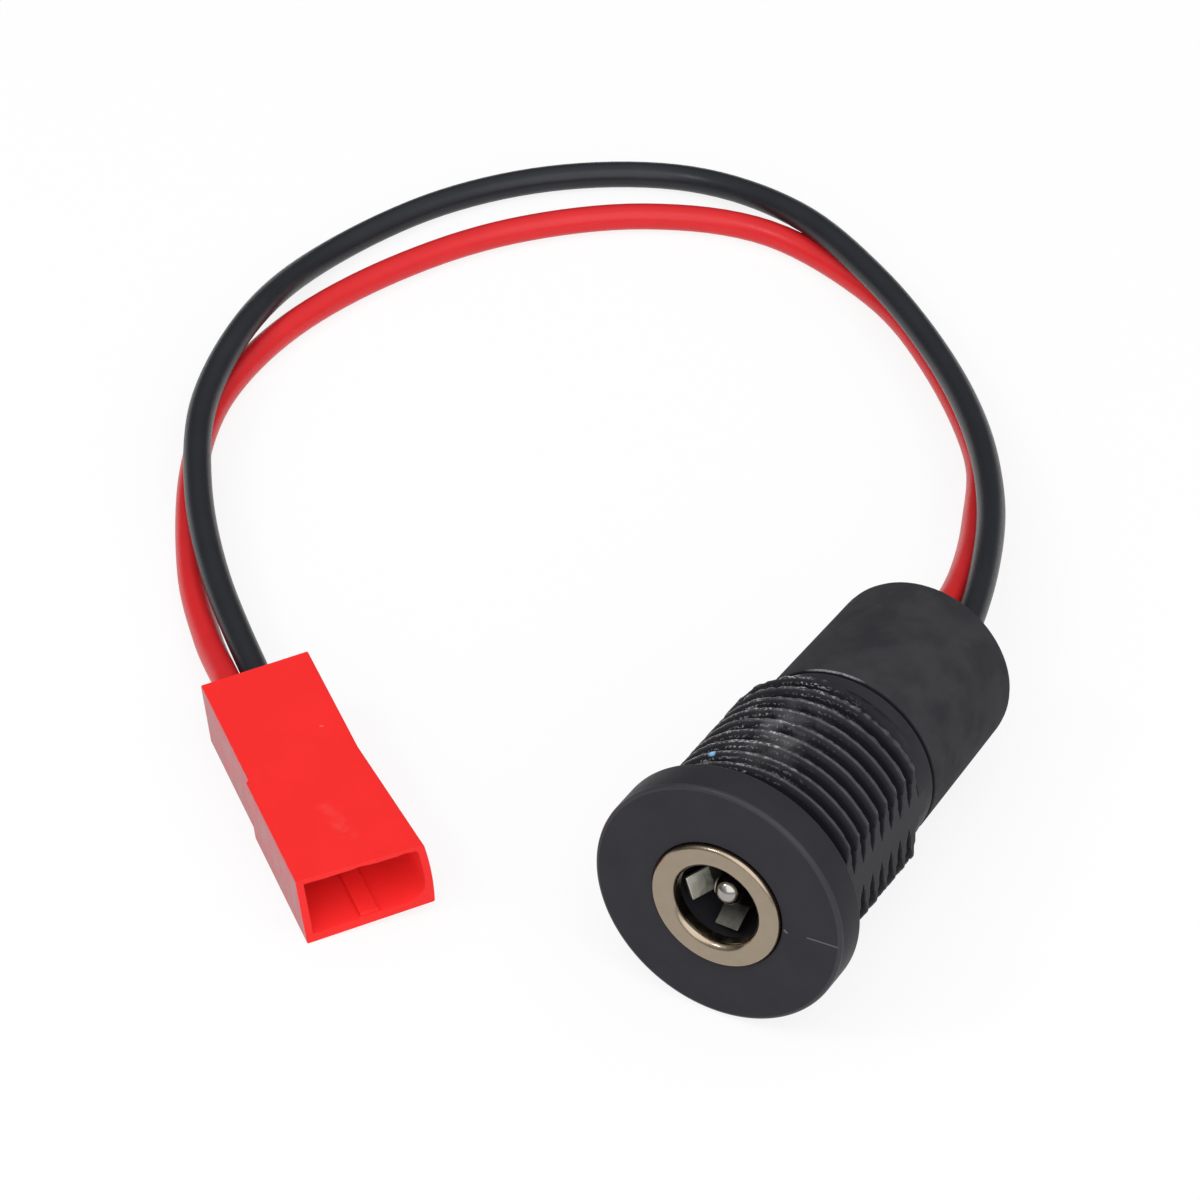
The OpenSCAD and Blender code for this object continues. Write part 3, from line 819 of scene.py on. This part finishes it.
def draw_back_roof(body):
    """Moves the front edge of the roof back towards its left end, where the real one is short."""
    for vert in body.verts:
        x, y, z = vert.co / MM
        if y < 0.1 - HOUSING_L:
            leftness = (FLARE_SIDE - x) / (FLARE_SIDE + STEP_SIDE)
            vert.co.y += ROOF_DRAWN_BACK * MM * leftness * z / HOUSING_H


def connector_housing(material):
    """The connector's shell, with its mouth, rail and ways."""
    shell = housing_outside()
    combine(shell, [housing_mouth()] + housing_way(RED_WAY) + housing_way(BLACK_WAY), "DIFFERENCE")
    combine(shell, [housing_rail()], "UNION")
    body = bmesh.new()
    body.from_mesh(shell.data)
    bpy.data.objects.remove(shell)
    draw_back_roof(body)
    made = mesh_object("connector_housing_moulding", body, material, HOUSING_FRAME)
    eased = made.modifiers.new("eased_edges", "BEVEL")
    eased.width = 0.05 * MM
    eased.segments = 2
    eased.limit_method = "ANGLE"
    eased.angle_limit = math.radians(35)
    eased.harden_normals = True
    return made


# Wires


def smooth_route(points):
    """A smooth line through the route's points."""
    points = [points[0]] + points + [points[-1]]
    line = []
    for a, b, c, d in zip(points, points[1:], points[2:], points[3:]):
        for i in range(STEPS_PER_POINT):
            t = i / STEPS_PER_POINT
            bend = (2 * a - 5 * b + 4 * c - d) * t**2 + (3 * b - a - 3 * c + d) * t**3
            line.append(b + 0.5 * ((c - a) * t + bend))
    return line + [points[-1]]


def wire(name, route, material):
    """A round wire along a route, and its length."""
    line = smooth_route(route)
    curve = bpy.data.curves.new(name, "CURVE")
    curve.dimensions = "3D"
    curve.bevel_depth = WIRE_R * MM
    curve.bevel_resolution = 6
    curve.use_fill_caps = True
    spline = curve.splines.new("POLY")
    spline.points.add(len(line) - 1)
    for point, place in zip(spline.points, line):
        point.co = (*place, 1)
    spline.use_smooth = True
    curve.materials.append(material)
    made = bpy.data.objects.new(name, curve)
    bpy.context.scene.collection.objects.link(made)
    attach(made, "root")
    length = sum((b - a).length for a, b in zip(line, line[1:]))
    return made, length


def housing_run(x):
    """End of a wire in its way of the connector; just behind it the wires are drawn together."""
    drawn_in = x + PINCH_SHARE * ((RED_WAY + BLACK_WAY) / 2 - x)
    places = ((drawn_in, PINCH_BACK), (x, 0), (x, -STRIP_L))
    return [housing_point(across, back, HOUSING_H / 2) for across, back in places]


def add_wire(colour, start, free, way, side, material):
    """One insulated wire from its solder joint to the connector, on that side of the cover's hole."""
    route = start + [Vector(point) * MM for point in free] + housing_run(way)
    made, length = wire(colour + "_wire_insulation", route, material)
    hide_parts(colour + "_wire")
    return made, jack_point(side, 0, JACK_L), length


def add_wires(red_material, black_material):
    """Both wires, each with the place where it leaves the cover and its length."""
    red_start = [
        jack_point(0, 0, RED_START),
        jack_point(0, 0, RED_START + RED_STRAIGHT),
        jack_point(-WIRE_GAP, 0, RED_ASIDE),
    ]
    black_start = [
        jack_point(0, BLACK_LUG_Y, BLACK_START),
        jack_point(0, BLACK_LUG_Y, BLACK_START + BLACK_STRAIGHT),
        jack_point(WIRE_GAP, BLACK_LOW, BLACK_ASIDE),
    ]
    return (
        add_wire("red", red_start, RED_FREE, RED_WAY, -WIRE_GAP, red_material),
        add_wire("black", black_start, BLACK_FREE, BLACK_WAY, WIRE_GAP, black_material),
    )


# CAD pieces that keep their shape


def dress(name, material, edge_mm=0.0):
    """Gives a CAD piece its material, smooth shading and, where it is seen, eased edges."""
    piece = nodes[name]
    piece.data.materials.clear()
    piece.data.materials.append(material)
    for face in piece.data.polygons:
        face.use_smooth = True
    weld = piece.modifiers.new("weld", "WELD")
    weld.merge_threshold = 1e-7
    if edge_mm:
        eased = piece.modifiers.new("eased_edges", "BEVEL")
        eased.width = edge_mm * MM
        eased.segments = 3
        eased.limit_method = "ANGLE"
        eased.angle_limit = math.radians(35)
        eased.harden_normals = True
    else:
        split = piece.modifiers.new("sharp_edges", "EDGE_SPLIT")
        split.split_angle = math.radians(30)


# Stage


def add_floor():
    """White paper that shows the object's shadow; seen directly or in a reflection it is near white."""
    material, tree, shader = new_material("white_floor")
    tree.nodes.remove(shader)
    paper = add_node(tree, "ShaderNodeBsdfDiffuse", Color=(0.9, 0.9, 0.9, 1))
    glow = add_node(tree, "ShaderNodeEmission", Color=(1, 1, 1, 1), Strength=1.0)
    ray = tree.nodes.new("ShaderNodeLightPath").outputs
    seen = maths(tree, "MAXIMUM", ray["Is Camera Ray"], ray["Is Glossy Ray"])
    seen = maths(tree, "MAXIMUM", seen, ray["Is Transmission Ray"])
    mixed = tree.nodes.new("ShaderNodeMixShader")
    feed(tree, mixed.inputs[0], maths(tree, "MULTIPLY", seen, 0.85))
    feed(tree, mixed.inputs[1], paper.outputs[0])
    feed(tree, mixed.inputs[2], glow.outputs[0])
    tree.links.new(mixed.outputs[0], tree.nodes["Material Output"].inputs["Surface"])
    bpy.ops.mesh.primitive_plane_add(size=6)
    floor = bpy.context.object
    floor.name = "floor"
    floor.data.materials.append(material)


def add_world():
    """Soft light all round, brightest above the camera's side of the part."""
    world = bpy.data.worlds.new("studio")
    world.use_nodes = True
    bpy.context.scene.world = world
    tree = world.node_tree
    direction = tree.nodes.new("ShaderNodeTexCoord").outputs["Generated"]
    towards_light = vector_maths(tree, "DOT_PRODUCT", direction, Vector((0.32, -0.3, 0.9)))
    strength = remap(tree, towards_light, 0, 0.9, 0.1, 0.95)
    background = tree.nodes["Background"]
    background.inputs["Color"].default_value = (1, 1, 1, 1)
    tree.links.new(strength, background.inputs["Strength"])


def add_softbox(name, place, size, power):
    """Square lamp that faces the middle of the part."""
    lamp = bpy.data.lights.new(name, "AREA")
    lamp.shape = "SQUARE"
    lamp.size = size
    lamp.energy = power
    made = bpy.data.objects.new(name, lamp)
    bpy.context.scene.collection.objects.link(made)
    made.location = place
    towards = Vector((-0.02, 0.02, 0)) - Vector(place)
    made.rotation_euler = towards.to_track_quat("-Z", "Y").to_euler()


def add_camera():
    """The camera that took the photo, as fitted to its outlines."""
    lens = bpy.data.cameras.new("camera")
    lens.lens = 150
    lens.sensor_width = 36
    lens.clip_start = 0.01
    lens.clip_end = 20
    camera = bpy.data.objects.new("camera", lens)
    bpy.context.scene.collection.objects.link(camera)
    camera.location = (0.10068, -0.2093, 0.2205)
    target = Vector((-0.02505, 0.01584, 0))
    camera.rotation_euler = (target - camera.location).to_track_quat("-Z", "Y").to_euler()
    bpy.context.scene.camera = camera


# Scene

bpy.context.scene.view_settings.view_transform = "Standard"
add_camera()

red_insulation = insulation("red_insulation", (0.58, 0.014, 0.018), (0.68, 0.019, 0.023))
black_insulation = insulation("black_insulation", (0.011, 0.0128, 0.0165), (0.018, 0.0205, 0.025))
red_lead, black_lead = add_wires(red_insulation, black_insulation)

connector = connector_housing(red_plastic())
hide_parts("connector_housing")

body_low = (0.0265, 0.0258, 0.0305)
body_high = (0.0355, 0.0346, 0.0395)
moulding = jack_body(black_plastic("black_plastic_worn_and_painted_light", body_low, body_high, 0.03, 0.42, body_wear_and_painted_light))
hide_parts("jack_body")
ring = front_ring(plated_metal("ring_nickel", (0.3, 0.243, 0.18), (0.35, 0.29, 0.217), 0.22))
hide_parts("front_ring")
contact_metal = plated_metal("contact_metal", (0.44, 0.44, 0.38), (0.54, 0.54, 0.47), 0.5)
pin = centre_pin(plated_metal("pin_metal", (0.32, 0.31, 0.29), (0.38, 0.37, 0.35), 0.15))
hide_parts("centre_pin")

copper = plated_metal("copper", (0.8, 0.42, 0.26), (0.86, 0.5, 0.34), 0.3)
solder = plated_metal("solder", (0.55, 0.55, 0.56), (0.68, 0.68, 0.7), 0.35)
cover_low = (0.034, 0.0332, 0.0378)
cover_high = (0.053, 0.052, 0.055)
dress("rear_cover", black_plastic("black_plastic", cover_low, cover_high, 0.02, 0.65, cover_wear_and_painted_light))
carrier_low = (0.02, 0.0195, 0.023)
carrier_high = (0.026, 0.0255, 0.029)
dress("contact_carrier", black_plastic("carrier_plastic", carrier_low, carrier_high, 0.1, 0.6))
# Painted shade: the sleeve contact gets a darker copy of the contact metal, as it lies in shade deep in
# the socket
painted_shade_contact = plated_metal("contact_metal_painted_shade", (0.09, 0.087, 0.078), (0.13, 0.125, 0.11), 0.5)
dress("sleeve_contact", painted_shade_contact, edge_mm=0.06)
# Painted light: the switch contact gets a paler copy of the contact metal, as it faces the light
painted_light_contact = plated_metal("contact_metal_painted_light", (0.68, 0.68, 0.6), (0.8, 0.8, 0.71), 0.5)
dress("switch_contact", painted_light_contact, edge_mm=0.06)
for contact in ("red_crimp_contact", "black_crimp_contact"):
    dress(contact, contact_metal)
for strands in ("red_strands", "black_strands"):
    dress(strands, copper)
for joint in ("pin_solder", "sleeve_solder"):
    dress(joint, solder)

add_world()
add_floor()
add_softbox("key", (0.2, -0.32, 0.46), 0.8, 2.5)
add_softbox("glint", (-0.28, -0.3, 0.47), 0.1, 0.55)
